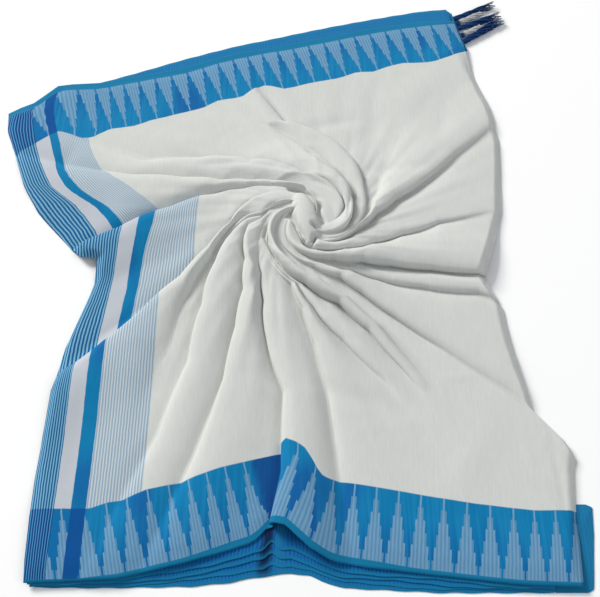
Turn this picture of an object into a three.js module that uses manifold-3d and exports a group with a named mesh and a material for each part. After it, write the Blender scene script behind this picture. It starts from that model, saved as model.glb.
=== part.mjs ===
// A handloom cotton saree, folded into leaves and laid flat, its middle pinched and twisted into a
// rosette. Millimetres, +Z up. It lies on the plane z = 0; +X runs along the folded leaf towards its
// turned edge, +Y across the cloth's width towards the upper border.
import * as THREE from "three";
import { mergeVertices } from "three/addons/utils/BufferGeometryUtils.js";
import Module from "manifold-3d";

const wasm = await Module();
wasm.setup();

// Driving sizes
const RECENTRE = { x: -4, y: 6 };       // puts the middle of the outline over the origin
const SWIRL = { x: 68, y: 22 };         // where the cloth is pinched
const WALL = 2.0;                       // one leaf of cloth with its loft
const SEAM = 0.35;                      // clear space between separate leaves
const FLAT_TOP = 12.0;                  // top of the pile away from the folds
const SWIRL_RISE = 25.0;                // how much the pinch lifts the cloth
const SWIRL_REACH = 115.0;              // how far out that rise is felt
const EDGE_DROP = 34.0;                 // width over which the top leaf comes down to its bordered edges
const SIDE_DROP = 16.0;                 // the same at its two ends
const BORDER_RIM = 9.6;                 // top of the top leaf's edge over the stacked borders
const SIDE_RIM = 4.2;                   // top of its edge at the two ends, near the ground
const LOWER_LEAF = 1.5;                 // thickness of a lower leaf where only its edge shows
const FOLD_REACH = 80.0;                // the longest slope behind a fold's nose
const HEART = { x: 71, y: 19, halfLength: 55, halfWidth: 20, direction: 102, height: 11 };  // the rosette

// The top leaf's outline, point by point anticlockwise from the lower right corner
const OUTLINE = [
  [433, -550], [437, -500], [440, -448], [447, -390], [455, -370], [440, -350], [415, -322], [400, -302],
  [390, -250], [382, -200], [377, -130], [358, -95], [355, -70], [360, -55], [377, -7], [395, 50],
  [404, 140], [409, 205], [398, 280], [378, 360], [370, 415], [352, 498], [290, 491], [200, 474],
  [100, 447], [0, 420], [-50, 410], [-100, 392], [-150, 371], [-200, 359], [-300, 335], [-372, 330],
  [-410, 288], [-430, 280], [-455, 266], [-450, 225], [-427, 170], [-400, 100], [-370, 50], [-325, 0],
  [-288, -41], [-260, -42], [-262, -90], [-272, -125], [-293, -200], [-303, -270], [-308, -400],
  [-302, -545], [-180, -540], [-100, -522], [-50, -508], [0, -492], [20, -470], [40, -472], [60, -490],
  [75, -503], [105, -518], [150, -525], [250, -536], [350, -547],
];

// Each fold: the direction of its crease from the swirl, in degrees, at each radius of CREASE_AT, and
// how high its nose stands over the crease at each radius of NOSE_AT. Anticlockwise in order. A row
// whose heights are all zero only carries the mesh to a corner of the outline.
const CREASE_AT = [15, 25, 35, 50, 70, 90, 120, 160, 220, 300, 420, 600];
const NOSE_AT = [20, 50, 90, 130, 180, 250, 350, 600];
const FOLDS = [
  { name: "lower right corner", columns: 4,
    crease: [-245, -210, -184, -158, -124, -96, -74, -63, -58, -57, -57, -57.5],
    nose: [0, 0, 0, 0, 0, 0, 0, 0] },
  { name: "long right fold", columns: 4,
    crease: [-228, -193, -168, -142, -108, -80, -61, -55, -51, -47.5, -44.6, -44],
    nose: [0, 0, 7.5, 14, 12.5, 9.5, 6.5, 3] },
  { name: "soft ridge right", columns: 3,
    crease: [-215, -180, -155, -128, -95, -68, -51, -42, -33, -25.5, -24, -24],
    nose: [0, 0, 0, 4, 9, 9, 5, 0] },
  { name: "waist fold", columns: 4,
    crease: [-185, -160, -140, -118, -86, -58, -39, -30, -23, -18, -17, -17],
    nose: [0, 6, 19, 22.5, 21, 17, 11, 8] },
  { name: "thin right fold", columns: 4,
    crease: [-140, -119, -100, -86, -60, -38, -20, -8, 0.5, 4, 5, 5],
    nose: [5, 12.5, 10, 9, 7.5, 5, 0, 0] },
  { name: "upper right fold", columns: 5,
    crease: [-125, -100, -80, -60, -38, -12, 8, 18, 23.5, 29, 33, 34],
    nose: [0, 0, 15, 15, 13, 9.5, 5.5, 2.5] },
  { name: "upper right corner", columns: 7,
    crease: [-112, -96, -75, -55, -34, -7, 20, 36, 46, 53, 58, 59.2],
    nose: [0, 0, 0, 0, 0, 0, 0, 0] },
  { name: "outer roll", columns: 3,
    crease: [-100, -92, -70, -50, -29, -2, 35, 62, 99, 105, 106, 106],
    nose: [0, 0, 4, 10, 11, 6, 0, 0] },
  { name: "inner roll", columns: 5,
    crease: [-85, -80, -55, -35, -12, 32, 70, 92, 107, 114, 116, 117],
    nose: [0, 4, 16, 12.5, 4, 0, 0, 0] },
  { name: "upper left long fold", columns: 3,
    crease: [-55, -50, -25, -5, 22, 93, 111, 129, 143, 154, 155, 155],
    nose: [0, 0, 14, 16, 15, 9.5, 2, 0] },
  { name: "eye fold", columns: 5,
    crease: [-10, 31, 53, 82, 109, 123, 138, 150, 157, 161.5, 163, 163],
    nose: [9.5, 16, 6, 9, 16, 14.5, 10, 2] },
  { name: "side tuck", columns: 5,
    crease: [5, 40, 62, 90, 116, 130, 146, 159, 172, 182, 191, 191],
    nose: [0, 0, 0, 2.5, 10, 12, 12, 4] },
  { name: "lower left tuck", columns: 4,
    crease: [25, 58, 85, 113, 131, 152, 184, 199, 209, 213.5, 216, 216],
    nose: [0, 2.5, 6, 12.5, 16, 14.5, 9, 2] },
  { name: "lower left corner", columns: 3,
    crease: [55, 95, 120, 148, 172, 175, 187, 204, 216, 228, 234, 237],
    nose: [0, 9, 6, 0, 0, 0, 0, 0] },
  { name: "left pleat", columns: 3,
    crease: [65, 102, 127, 155, 176, 179, 195, 211, 225.5, 235, 240, 242],
    nose: [0, 0, 5, 15, 17.5, 13, 7.5, 2] },
  { name: "middle pleat", columns: 4,
    crease: [75, 110, 134, 162, 183, 190, 222, 236, 243, 247.5, 248.5, 248.5],
    nose: [0, 0, 10, 19, 20, 17, 11, 2] },
  { name: "bottom ridge", columns: 4,
    crease: [85, 117, 141, 168, 196, 218, 237, 248, 256, 265, 266.3, 263.5],
    nose: [0, 0, 0, 7.5, 14, 14.5, 18.5, 22] },
  { name: "narrow pleat", columns: 4,
    crease: [92, 123, 148, 174, 205, 232, 261, 270, 274.4, 276.7, 276.5, 276.5],
    nose: [0, 0, 0, 11, 12.5, 9.5, 4.5, 0] },
  { name: "short pleat", columns: 3,
    crease: [98, 129, 154, 179, 211, 239, 266, 276, 285.5, 293, 296, 297],
    nose: [0, 0, 0, 7.5, 11, 8.5, 0, 0] },
  { name: "great spiral fold", columns: 2,
    crease: [105, 135, 160, 184, 218, 246, 272, 290, 297, 299.5, 301, 301.5],
    nose: [2.5, 11, 24, 25, 20, 11, 0, 0] },
];

// Edges of the lower leaves that show below the lower border and beyond the upper one
const LOWEST_EDGE = [
  [-302, -549], [-200, -550], [-80, -548], [-30, -543], [0, -537], [50, -531], [75, -534], [90, -541],
  [120, -550], [250, -556], [395, -556],
];
const UPPERMOST_EDGE = [
  [-330, 337], [-300, 343], [-265, 356], [-214, 376], [-160, 398], [-105, 418], [-50, 437], [5, 452],
  [62, 469], [119, 485], [177, 500], [235, 514], [293, 527], [343, 533], [348, 525],
];
const LOWER_LEAVES = [
  { node: "lower_leaf_1", share: 0.3 }, { node: "lower_leaf_2", share: 0.55 },
  { node: "lower_leaf_3", share: 0.78 }, { node: "lower_leaf_4", share: 1.0 },
];
const LEAF_INSET = 52;                  // how far a lower leaf's edge strip reaches under the top leaf
const CORNER_LEAF = [
  [396, -556], [396, -455], [442, -438], [455, -438], [464, -442], [460, -480], [455, -510],
  [450, -541], [448, -552], [440, -556],
];

// Tassels of the second leaf's end, at the upper right: root, tip and strand count
const TASSELS = [
  { root: [357, 504], tip: [432, 545], strands: 7 }, { root: [361, 487], tip: [414, 521], strands: 5 },
  { root: [364, 472], tip: [443, 520], strands: 7 }, { root: [367.5, 456], tip: [419, 487], strands: 5 },
  { root: [370.5, 441], tip: [442, 497], strands: 7 },
];
const STRAND = { diameter: 3.4, sides: 4, steps: 4, spread: 3.4, turns: 0.9 };

const RAD = Math.PI / 180;
const smooth = (t) => { const u = Math.min(Math.max(t, 0), 1); return u * u * (3 - 2 * u); };

// A value read from a row of numbers given at the stations xs, straight between them
function along(xs, row, x) {
  if (x <= xs[0]) return row[0];
  for (let k = 1; k < xs.length; k++) {
    if (x <= xs[k]) return row[k - 1] + (row[k] - row[k - 1]) * (x - xs[k - 1]) / (xs[k] - xs[k - 1]);
  }
  return row[row.length - 1];
}

// Height of an edge line y at the position x
const edgeAt = (line, x) => along(line.map((p) => p[0]), line.map((p) => p[1]), x);

// Distance from the swirl to the outline in the direction of an angle in degrees
const corners = OUTLINE.map(([x, y]) => ({ x: x - SWIRL.x, y: y - SWIRL.y }));
function reach(angle) {
  const dx = Math.cos(angle * RAD), dy = Math.sin(angle * RAD);
  let best = 0;
  corners.forEach((p, k) => {
    const q = corners[(k + 1) % corners.length];
    const ex = q.x - p.x, ey = q.y - p.y;
    const det = ex * dy - ey * dx;
    if (Math.abs(det) < 1e-9) return;
    const s = (p.y * dx - p.x * dy) / det;
    const r = (p.y * ex - p.x * ey) / det;
    if (s >= -1e-9 && s <= 1 + 1e-9 && r > best) best = r;
  });
  return best;
}

// 1 along the two bordered edges, 0 at the two ends of the leaf
function bordered(angle) {
  const a = ((angle % 360) + 360) % 360;
  const upper = smooth((a - 46) / 8) * smooth((158 - a) / 8);
  const lower = smooth((a - 227) / 6) * smooth((308 - a) / 5);
  return Math.max(upper, lower);
}

// 1 over the lowest leaf's corner at the lower right, where the hidden leaves stand back
const overCorner = (angle) => {
  const a = ((angle % 360) + 360) % 360;
  return smooth((a - 300) / 3) * smooth((320 - a) / 6);
};

// The ground of the top leaf under its folds: the pile, the rise at the pinch and the drop at the edge
function ground(r, rim, angle) {
  const share = bordered(angle);
  const edge = SIDE_RIM + (BORDER_RIM - SIDE_RIM) * share;
  const drop = smooth((rim - r) / (SIDE_DROP + (EDGE_DROP - SIDE_DROP) * share));
  return edge + (FLAT_TOP - edge) * drop + SWIRL_RISE * Math.exp(-((r / SWIRL_REACH) ** 2));
}

// Where a crease lies at radius r, as an angle
const creaseAt = (fold, r) => along(CREASE_AT, fold.crease, r);

// Profile across one fold: a steep nose at the crease, wider far out where a fold is low. Behind it a
// fold that is crowded by the next one is a tube, and a lone one runs out in a long slope
function foldProfile(fold, r, width) {
  const high = along(NOSE_AT, fold.nose, r) * smooth(r / 20);
  const widening = 0.055 * Math.max(r - 110, 0) * smooth((15 - high) / 8);
  const nose = Math.min(0.36 * width, 6 + 0.42 * high + widening);
  const back = Math.min(width - nose, FOLD_REACH);
  const crowded = 1 - smooth((width - 90) / 60);
  return { high, nose, back, rest: width - nose, crowded };
}
function foldHeight(profile, d) {
  if (d <= profile.nose) return profile.high * Math.sin((Math.PI / 2) * d / profile.nose);
  const u = Math.min((d - profile.nose) / profile.back, 1);
  const slope = Math.cos((Math.PI / 2) * u) ** 1.3;
  const tube = 1 - Math.min((d - profile.nose) / profile.rest, 1) ** 2.2;
  return profile.high * (profile.crowded * tube + (1 - profile.crowded) * slope);
}

// The middle of the rosette: a smooth oval dome takes over from the folds inside its outline
function withHeart(x, y, r, z) {
  const c = Math.cos(HEART.direction * RAD), s = Math.sin(HEART.direction * RAD);
  const along = ((x - HEART.x) * c + (y - HEART.y) * s) / HEART.halfLength;
  const across = ((y - HEART.y) * c - (x - HEART.x) * s) / HEART.halfWidth;
  const q = Math.hypot(along, across);
  const dome = FLAT_TOP + SWIRL_RISE * Math.exp(-((r / SWIRL_REACH) ** 2))
    + HEART.height * Math.sqrt(Math.max(1 - q * q, 0));
  return z + (dome - z) * smooth((1.05 - q) / 0.2);
}

// The mesh's columns run along the creases; its rows are rings round the swirl
const INNER_ROWS = [
  7, 12, 17, 22, 28, 34, 41, 49, 58, 66, 72, 78, 84, 91, 100, 112, 126, 142, 162, 186, 213, 242,
];
const OUTER_ROWS = 6;
const columns = FOLDS.flatMap((fold, i) => {
  const next = FOLDS[(i + 1) % FOLDS.length];
  const turn = i + 1 === FOLDS.length ? 360 : 0;
  return Array.from({ length: fold.columns }, (_, c) => ({ fold, next, turn, step: c, of: fold.columns }));
});

// One point of the top leaf's upper face, in millimetres from the swirl, for a column at radius r
function leafPoint(column, r, rim) {
  const from = creaseAt(column.fold, r);
  const to = creaseAt(column.next, r) + column.turn;
  const width = Math.max(r * (to - from) * RAD, 0.5);
  const profile = foldProfile(column.fold, r, width);
  const rest = width - profile.nose;
  const d = column.step === 0 ? 0 : profile.nose + rest * (column.step - 1) / (column.of - 1);
  const angle = from + (to - from) * d / width;
  const x = SWIRL.x + r * Math.cos(angle * RAD), y = SWIRL.y + r * Math.sin(angle * RAD);
  return { angle, z: withHeart(x, y, r, ground(r, rim, angle) + foldHeight(profile, d)) };
}

// Where a column meets the outline: the first radius that passes it
function columnEnd(column) {
  for (let r = 245; r < 720; r += 1) {
    const { angle } = leafPoint(column, r, 1e4);
    if (r >= reach(angle)) return r;
  }
  throw new Error(`no edge for ${column.fold.name}`);
}

const inPlace = (angle, r, z) => [
  SWIRL.x + RECENTRE.x + r * Math.cos(angle * RAD), SWIRL.y + RECENTRE.y + r * Math.sin(angle * RAD), z];

// A closed body from rings of points: its upper face, the same face dropped to lower(point), and a rim
function closedLeaf(middle, rings, lower) {
  const n = rings[0].length;
  const upper = [middle, ...rings.flat()];
  const points = [...upper, ...upper.map(lower)];
  const under = upper.length;
  const at = (row, col) => 1 + row * n + (col % n);
  const faces = [];
  const both = (a, b, c) => { faces.push(a, b, c, under + a, under + c, under + b); };
  const plan = (a, b, c) => (upper[b][0] - upper[a][0]) * (upper[c][1] - upper[a][1])
    - (upper[b][1] - upper[a][1]) * (upper[c][0] - upper[a][0]);
  for (let c = 0; c < n; c++) {
    both(0, at(0, c), at(0, c + 1));
    for (let row = 0; row + 1 < rings.length; row++) {
      const a = at(row, c), b = at(row + 1, c), d = at(row + 1, c + 1), e = at(row, c + 1);
      if (Math.min(plan(a, b, d), plan(a, d, e)) >= Math.min(plan(a, b, e), plan(b, d, e))) {
        both(a, b, d);
        both(a, d, e);
      } else {
        both(a, b, e);
        both(b, d, e);
      }
    }
    const a = at(rings.length - 1, c);
    const b = at(rings.length - 1, c + 1);
    faces.push(a, under + a, under + b, a, under + b, b);
  }
  const geometry = new THREE.BufferGeometry();
  geometry.setAttribute("position", new THREE.Float32BufferAttribute(points.flat(), 3));
  geometry.setIndex(faces);
  return geometry;
}

function topLeaf() {
  const ends = columns.map(columnEnd);
  const rings = INNER_ROWS.map((r) => columns.map((column, c) => {
    const p = leafPoint(column, r, ends[c]);
    return inPlace(p.angle, r, p.z);
  }));
  for (let k = 1; k <= OUTER_ROWS; k++) {
    rings.push(columns.map((column, c) => {
      const r = 242 + (ends[c] - 242) * (1 - (1 - k / OUTER_ROWS) ** 1.25);
      const p = leafPoint(column, r, ends[c]);
      return inPlace(p.angle, r, p.z);
    }));
  }
  const eye = withHeart(SWIRL.x, SWIRL.y, 0, FLAT_TOP + SWIRL_RISE);
  return closedLeaf(inPlace(0, 0, eye), rings, ([x, y, z]) => [x, y, z - WALL]);
}

// The hidden leaves as one rounded body, flat underneath: it follows the ground of the top leaf
function innerLayers() {
  const spokes = 54;
  const stations = [0.05, 0.12, 0.2, 0.3, 0.42, 0.56, 0.72, 0.88, 0.97, 1.0];
  const rings = stations.map((s, row) => Array.from({ length: spokes }, (_, k) => {
    const angle = -57.5 + k * 360 / spokes;
    const rim = reach(angle);
    const inset = 15 + (LEAF_INSET + 6) * Math.max(bordered(angle), overCorner(angle));
    const r = s * (rim - inset);
    const lowest = Math.min(ground(r, rim, angle), ground(r + 12, rim, angle));
    const under = lowest - WALL - 2 * SEAM;
    const edge = row === stations.length - 1 ? 0.45 : row === stations.length - 2 ? 0.85 : 1;
    return inPlace(angle, r, Math.max(under * edge, 0.8));
  }));
  const middle = inPlace(0, 0, FLAT_TOP + SWIRL_RISE - WALL - SEAM - 1);
  return closedLeaf(middle, rings, ([x, y]) => [x, y, 0]);
}

// A strip of cloth from stations across it: each station gives the four corners of its section
function strip(sections) {
  const points = sections.flat();
  const n = sections[0].length;
  const faces = [];
  for (let k = 0; k + 1 < sections.length; k++) {
    for (let c = 0; c < n; c++) {
      const a = k * n + c, b = k * n + (c + 1) % n, d = a + n, e = b + n;
      faces.push(a, d, e, a, e, b);
    }
  }
  const last = (sections.length - 1) * n;
  for (let c = 1; c + 1 < n; c++) {
    faces.push(0, c, c + 1);
    faces.push(last, last + c + 1, last + c);
  }
  const geometry = new THREE.BufferGeometry();
  geometry.setAttribute("position", new THREE.Float32BufferAttribute(points.flat(), 3));
  geometry.setIndex(faces);
  return geometry;
}

// Edge of a lower leaf below the lower border: share 0 is the top leaf's edge, 1 the lowest edge
const LOWER_BORDER = [
  [-302, -545], [-180, -540], [-100, -522], [-50, -508], [0, -492], [50, -490], [75, -503], [105, -518],
  [150, -525], [250, -536], [350, -547], [433, -550],
];
function lowerLeaf(order, share) {
  const top = BORDER_RIM - WALL - SEAM - order * (LOWER_LEAF + SEAM);
  const bottom = Math.max(top - LOWER_LEAF, 0);
  const from = -296 + 3 * order, to = 395 - (order === 3 ? 0 : 0.5 * order);
  const sections = Array.from({ length: 31 }, (_, k) => {
    const x = from + (to - from) * k / 30;
    const near = edgeAt(LOWER_BORDER, x);
    const wave = 1.4 * Math.sin(x / 31 + 1.9 * order);
    const outer = near + (edgeAt(LOWEST_EDGE, x) - near) * share + wave * (share < 1 ? 1 : 0);
    const inner = near + LEAF_INSET;
    const at = (y, z) => [x + RECENTRE.x, y + RECENTRE.y, z];
    return [at(inner, bottom), at(outer + 1, bottom), at(outer, (top + bottom) / 2), at(outer + 1, top),
      at(inner, top)];
  });
  return strip(sections);
}

// The second leaf's bordered edge beyond the upper border: it comes down to the ground
const UPPER_BORDER = [
  [-330, 333], [-300, 335], [-200, 359], [-100, 392], [0, 420], [100, 447], [200, 474], [290, 491],
  [352, 498],
];
function upperLeaf() {
  const high = BORDER_RIM - WALL - SEAM;
  const sections = Array.from({ length: 31 }, (_, k) => {
    const x = -326 + (347 + 326) * k / 30;
    const near = edgeAt(UPPER_BORDER, x);
    const far = edgeAt(UPPERMOST_EDGE, x);
    const at = (y, z) => [x + RECENTRE.x, y + RECENTRE.y, z];
    const turn = near + 0.35 * (far - near);
    return [at(near - LEAF_INSET, high - LOWER_LEAF), at(near - LEAF_INSET, high), at(turn, high),
      at(far, LOWER_LEAF + 0.3), at(far, 0), at(turn, high - LOWER_LEAF - 0.3)];
  });
  return strip(sections);
}

// The corner of the lowest leaf at the lower right
function cornerLeaf() {
  const shape = new THREE.Shape(CORNER_LEAF.map(([x, y]) => new THREE.Vector2(x, y)));
  const geometry = new THREE.ExtrudeGeometry(shape, { depth: LOWER_LEAF, bevelEnabled: false });
  geometry.translate(RECENTRE.x, RECENTRE.y, 0);
  return geometry;
}

// A solid of the joining library from a closed geometry, and back
function asSolid(source) {
  const bare = source.index ? source.clone() : source.clone();
  bare.deleteAttribute("normal");
  bare.deleteAttribute("uv");
  const merged = mergeVertices(bare, 1e-3);
  return new wasm.Manifold(new wasm.Mesh({
    numProp: 3, vertProperties: new Float32Array(merged.attributes.position.array),
    triVerts: new Uint32Array(merged.index.array),
  }));
}
function asGeometry(solid) {
  const mesh = solid.getMesh();
  const geometry = new THREE.BufferGeometry();
  geometry.setAttribute("position", new THREE.Float32BufferAttribute(mesh.vertProperties, 3));
  geometry.setIndex(Array.from(mesh.triVerts));
  return geometry;
}

// One strand of a tassel: a thin tapered tube on a curve that winds round its tassel's line
function strand(tassel, index) {
  const { diameter, sides, steps, spread, turns } = STRAND;
  const [ax, ay] = tassel.root, [bx, by] = tassel.tip;
  const length = Math.hypot(bx - ax, by - ay);
  const ux = (bx - ax) / length, uy = (by - ay) / length;
  const reachOut = length * (0.86 + 0.14 * ((index * 7) % tassel.strands) / tassel.strands);
  const sections = Array.from({ length: steps + 1 }, (_, k) => {
    const s = k / steps;
    const turn = 2 * Math.PI * (index / tassel.strands + turns * s);
    const apart = spread * (0.55 + 0.75 * s) * (1 + 0.25 * Math.sin(index * 2.3));
    const side = apart * Math.cos(turn);
    const up = 0.75 * apart * Math.sin(turn);
    const middle = 4.6 + 0.6 * s;
    const half = 0.5 * diameter * (1 - 0.35 * s);
    const x = ax + ux * (reachOut * s - 2) - uy * side;
    const y = ay + uy * (reachOut * s - 2) + ux * side;
    return Array.from({ length: sides }, (_, c) => {
      const a = 2 * Math.PI * c / sides;
      const z = Math.max(middle + up, half + 0.35) + half * Math.sin(a);
      return [x + uy * half * Math.cos(a) + RECENTRE.x, y - ux * half * Math.cos(a) + RECENTRE.y, z];
    });
  });
  return strip(sections);
}

// The strip that the tassels hang from, along the second leaf's end
function tasselStrip() {
  const ends = [[350.7, 517], [371.5, 421]];
  const half = 2.4;
  const [[ax, ay], [bx, by]] = ends;
  const length = Math.hypot(bx - ax, by - ay);
  const nx = -(by - ay) / length, ny = (bx - ax) / length;
  const shape = new THREE.Shape([
    new THREE.Vector2(ax + nx * half, ay + ny * half), new THREE.Vector2(bx + nx * half, by + ny * half),
    new THREE.Vector2(bx - nx * half, by - ny * half), new THREE.Vector2(ax - nx * half, ay - ny * half),
  ]);
  const geometry = new THREE.ExtrudeGeometry(shape, { depth: 7, bevelEnabled: false });
  geometry.translate(RECENTRE.x, RECENTRE.y, 0);
  return geometry;
}
function tassels() {
  let body = asSolid(tasselStrip());
  for (const tassel of TASSELS) {
    for (let k = 0; k < tassel.strands; k++) body = body.add(asSolid(strand(tassel, k)));
  }
  return asGeometry(body);
}

const cloth = (color) => new THREE.MeshStandardMaterial({ color, roughness: 0.92, metalness: 0 });
const WHITE = "#e4e6e2", AZURE = "#1b86c6", ROYAL = "#1a63ad";

const saree = new THREE.Group();
function add(name, geometry, material) {
  const mesh = new THREE.Mesh(geometry, material);
  mesh.name = name;
  saree.add(mesh);
}
add("top_leaf", topLeaf(), cloth(WHITE));
add("inner_layers", innerLayers(), cloth(WHITE));
LOWER_LEAVES.forEach(({ node, share }, order) => add(node, lowerLeaf(order, share), cloth(AZURE)));
add("upper_leaf", upperLeaf(), cloth(AZURE));
add("corner_leaf", cornerLeaf(), cloth(AZURE));
add("tassels", tassels(), cloth(ROYAL));

export default saree;
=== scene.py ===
# %% [markdown]
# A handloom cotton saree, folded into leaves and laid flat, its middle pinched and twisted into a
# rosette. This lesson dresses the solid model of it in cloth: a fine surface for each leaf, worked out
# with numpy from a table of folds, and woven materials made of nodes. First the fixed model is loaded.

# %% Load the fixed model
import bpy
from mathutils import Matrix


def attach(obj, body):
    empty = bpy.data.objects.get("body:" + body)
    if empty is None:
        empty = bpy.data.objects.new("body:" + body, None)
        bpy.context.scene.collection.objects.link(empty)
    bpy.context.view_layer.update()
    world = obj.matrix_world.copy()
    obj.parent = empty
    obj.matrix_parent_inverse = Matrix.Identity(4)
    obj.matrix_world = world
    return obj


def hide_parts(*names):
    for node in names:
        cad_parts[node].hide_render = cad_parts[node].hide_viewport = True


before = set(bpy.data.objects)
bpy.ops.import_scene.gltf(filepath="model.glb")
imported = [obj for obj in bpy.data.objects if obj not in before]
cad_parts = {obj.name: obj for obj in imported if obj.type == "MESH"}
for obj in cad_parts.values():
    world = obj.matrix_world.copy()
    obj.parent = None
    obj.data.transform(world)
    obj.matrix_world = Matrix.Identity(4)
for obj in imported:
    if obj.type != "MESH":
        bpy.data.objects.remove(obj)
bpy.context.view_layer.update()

# %% Names and units
import math
import bpy
import numpy as np

MM = 0.001
RECENTRE = np.array([-4.0, 6.0])         # from the folder's measuring frame to the part's origin
SWIRL = np.array([68.0, 22.0])           # where the cloth is pinched, in the measuring frame


def in_metres(points):
    """Points in millimetres of the measuring frame, moved by RECENTRE and scaled to metres."""
    placed = np.array(points, dtype=float)
    placed[..., :2] += RECENTRE
    return placed * MM


# %% [markdown]
# The photograph looks down on the cloth at a steep slant from its lower edge. A camera 1.19 m above the
# ground, tilted 60 degrees below the horizontal, gives the same narrowing towards the far border.

# %% Camera
SENSOR_WIDTH = 36.0                      # mm
FRAME_WIDTH = 600.0                      # pixels of the photograph's frame
FOCAL_LENGTH = 878.0                     # in the same pixels
CAMERA_PLACE = [62.0, -797.0]            # mm in the measuring frame
CAMERA_HEIGHT = 1.190                    # metres
CAMERA_TILT = 60.0                       # degrees below the horizontal
camera_data = bpy.data.cameras.new("overhead_camera")
camera_data.sensor_width = SENSOR_WIDTH
camera_data.lens = FOCAL_LENGTH * SENSOR_WIDTH / FRAME_WIDTH
camera = bpy.data.objects.new("overhead_camera", camera_data)
bpy.context.scene.collection.objects.link(camera)
camera.location = (*in_metres(CAMERA_PLACE), CAMERA_HEIGHT)
camera.rotation_euler = (math.radians(90.0 - CAMERA_TILT), 0.0, 0.0)
bpy.context.scene.camera = camera
print("camera at", [round(v, 3) for v in camera.location])

# %% [markdown]
# Cloth is lit best by one broad soft light that grazes it from a side, so each fold has a bright flank
# and a soft dark one, and by a pale surrounding that fills the shadows. The key stands beyond the upper
# left corner, as the bright flanks in the photograph say.

# %% Light and floor
def hex_to_linear(text):
    """A six-digit sRGB colour as linear red, green, blue and alpha: the sRGB curve undone."""
    channels = [int(text[k:k + 2], 16) / 255 for k in (1, 3, 5)]
    linear = [c / 12.92 if c <= 0.04045 else ((c + 0.055) / 1.055) ** 2.4 for c in channels]
    return (*linear, 1.0)


def area_light(name, place, towards, width, power, colour):
    """A square light of a given width in metres at a place, turned towards a point."""
    data = bpy.data.lights.new(name, "AREA")
    data.shape = "SQUARE"
    data.size = width
    data.energy = power
    data.color = hex_to_linear(colour)[:3]
    lamp = bpy.data.objects.new(name, data)
    lamp.location = place
    aim = np.array(towards) - np.array(place)
    lamp.rotation_euler = (math.atan2(np.hypot(*aim[:2]), -aim[2]), 0.0, math.atan2(-aim[0], aim[1]))
    bpy.context.scene.collection.objects.link(lamp)
    return lamp


area_light("window_key", (-5.4, 4.7, 4.7), (0.0, 0.0, 0.0), 2.8, 760.0, "#FFFDF8")
area_light("low_fill", (2.4, -1.6, 2.6), (0.0, 0.0, 0.0), 2.0, 22.0, "#F2F7FF")
world = bpy.data.worlds.new("pale_room")
world.use_nodes = True
world.node_tree.nodes["Background"].inputs["Color"].default_value = hex_to_linear("#F4F7FA")
world.node_tree.nodes["Background"].inputs["Strength"].default_value = 0.43
bpy.context.scene.world = world
bpy.context.scene.view_settings.view_transform = "Standard"

# %% Helpers for meshes and materials, and the floor
def add_mesh(name, points, faces):
    """A new object from an array of points in metres and a list or array of faces, shaded smooth."""
    mesh = bpy.data.meshes.new(name)
    mesh.from_pydata([tuple(p) for p in np.asarray(points).tolist()], [], [tuple(f) for f in faces])
    mesh.update()
    mesh.polygons.foreach_set("use_smooth", np.ones(len(mesh.polygons), dtype=bool))
    piece = bpy.data.objects.new(name, mesh)
    bpy.context.scene.collection.objects.link(piece)
    return piece


def add_node(tree, kind, inputs=None, output=0, **settings):
    """One shader node with its settings and inputs; gives back one of its outputs.

    An input is a number, a vector, a colour as hex text, or another node's output to link.
    """
    made = tree.nodes.new("ShaderNode" + kind)
    for key, value in settings.items():
        setattr(made, key, value)
    for key, value in (inputs or {}).items():
        if isinstance(value, bpy.types.NodeSocket):
            tree.links.new(value, made.inputs[key])
        else:
            made.inputs[key].default_value = hex_to_linear(value) if isinstance(value, str) else value
    return made.outputs[output]


COLOUR = {"output": 2, "data_type": "RGBA"}      # a Mix node that mixes colours, and its colour output


def new_material(name):
    """An empty node material with a Principled shader joined to its output."""
    material = bpy.data.materials.new(name)
    material.use_nodes = True
    tree = material.node_tree
    tree.nodes.clear()
    surface = add_node(tree, "BsdfPrincipled")
    end = tree.nodes.new("ShaderNodeOutputMaterial")
    tree.links.new(surface, end.inputs["Surface"])
    return material, tree, surface.node


def grid_quads(rows, columns):
    """Quads between neighbouring rings of points: a point, the next ring's two, the ring's next point."""
    row, col = np.meshgrid(np.arange(rows - 1), np.arange(columns), indexing="ij")
    nxt = (col + 1) % columns
    return np.stack([row * columns + col, (row + 1) * columns + col, (row + 1) * columns + nxt,
                     row * columns + nxt], axis=-1).reshape(-1, 4)


def turned_over(quads):
    """The same quads facing the other way, each still starting at its own first corner."""
    return np.roll(quads[:, ::-1], 1, axis=1)


def fan(hub, first, size, turned=False):
    """Triangles from a hub to each side of the ring of points that begins at first."""
    sides = [(first + k, first + (k + 1) % size) for k in range(size)]
    return [(hub, b, a) if turned else (hub, a, b) for a, b in sides]


def corner_vertices(mesh):
    """The vertex at each face corner."""
    vertex = np.empty(len(mesh.loops), dtype=int)
    mesh.loops.foreach_get("vertex_index", vertex)
    return vertex


def add_uv_map(mesh, name, u, v):
    """A UV map from one u and one v for each face corner."""
    uv = np.stack([u, v], axis=-1).reshape(-1).astype(np.float32)
    mesh.uv_layers.new(name=name).data.foreach_set("uv", uv)


def dress(piece, material, node):
    """A piece's material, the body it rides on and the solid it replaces."""
    piece.data.materials.append(material)
    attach(piece, "root")
    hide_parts(node)


floor_side = 6.0
floor = add_mesh("studio_floor", [(-floor_side, -floor_side, 0), (floor_side, -floor_side, 0),
                                  (floor_side, floor_side, 0), (-floor_side, floor_side, 0)], [(0, 1, 2, 3)])
floor_material, _, floor_shader = new_material("matt_white_board")
floor_shader.inputs["Base Color"].default_value = hex_to_linear("#FDFDFD")
floor_shader.inputs["Roughness"].default_value = 0.95
floor_shader.inputs["Specular IOR Level"].default_value = 0.1
floor.data.materials.append(floor_material)

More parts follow.
